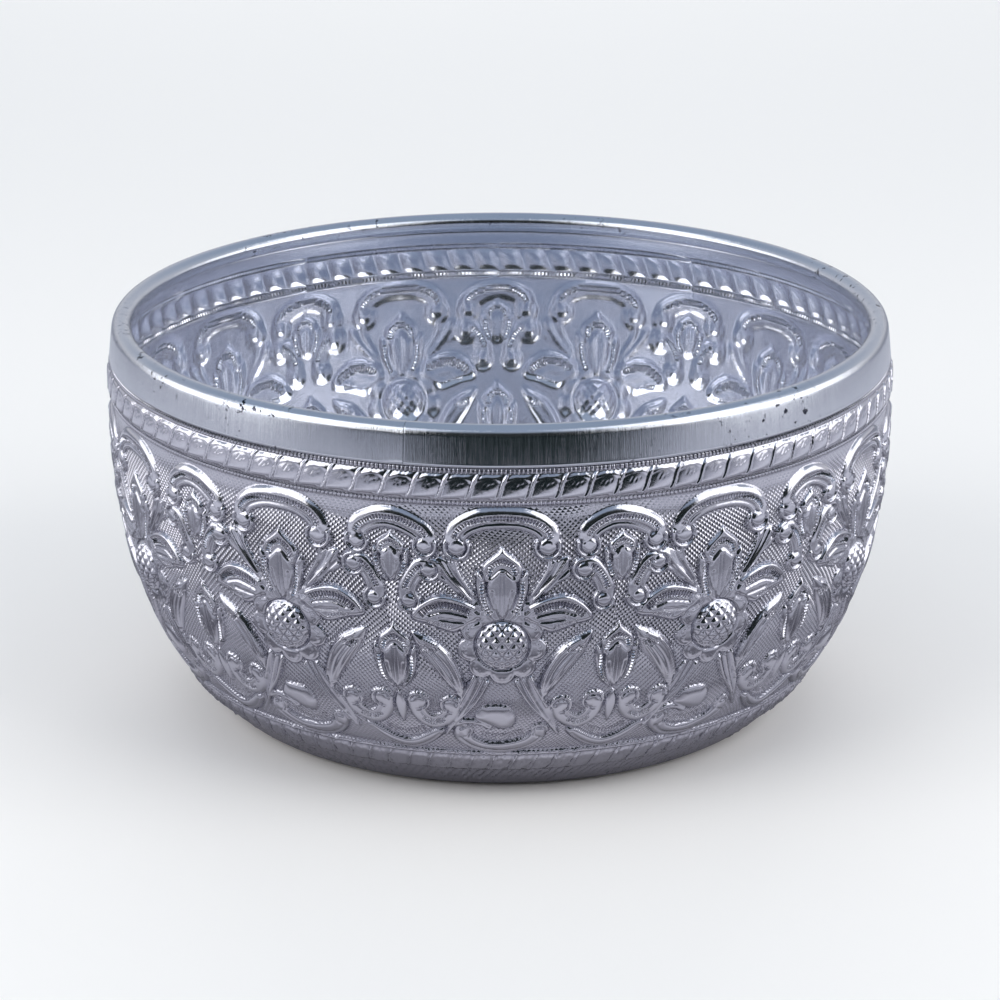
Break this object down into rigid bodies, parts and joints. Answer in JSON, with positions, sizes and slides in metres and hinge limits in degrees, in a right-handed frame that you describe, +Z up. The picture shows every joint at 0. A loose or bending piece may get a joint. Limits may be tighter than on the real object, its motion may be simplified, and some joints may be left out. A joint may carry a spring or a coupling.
{
  "type": "offering bowl",
  "caption": "Round embossed aluminium offering bowl with a floral repousse wall, rope borders, a plain polished rim rolled over a wire, and a flat base.",
  "frame": {"origin": "middle of the flat underside of the base", "axes": "+Z up along the bowl's axis, -Y towards the pictured front"},
  "size_m": [0.2, 0.2, 0.101],
  "materials": {
    "embossed_aluminium": "bright embossed sheet",
    "polished_aluminium": "polished, with fine draw lines",
    "wire_steel": "drawn wire"
  },
  "bodies": {
    "root": {"bowl_shell": "embossed_aluminium", "rim_band": "polished_aluminium", "rim_wire": "wire_steel"}
  },
  "joints": []
}
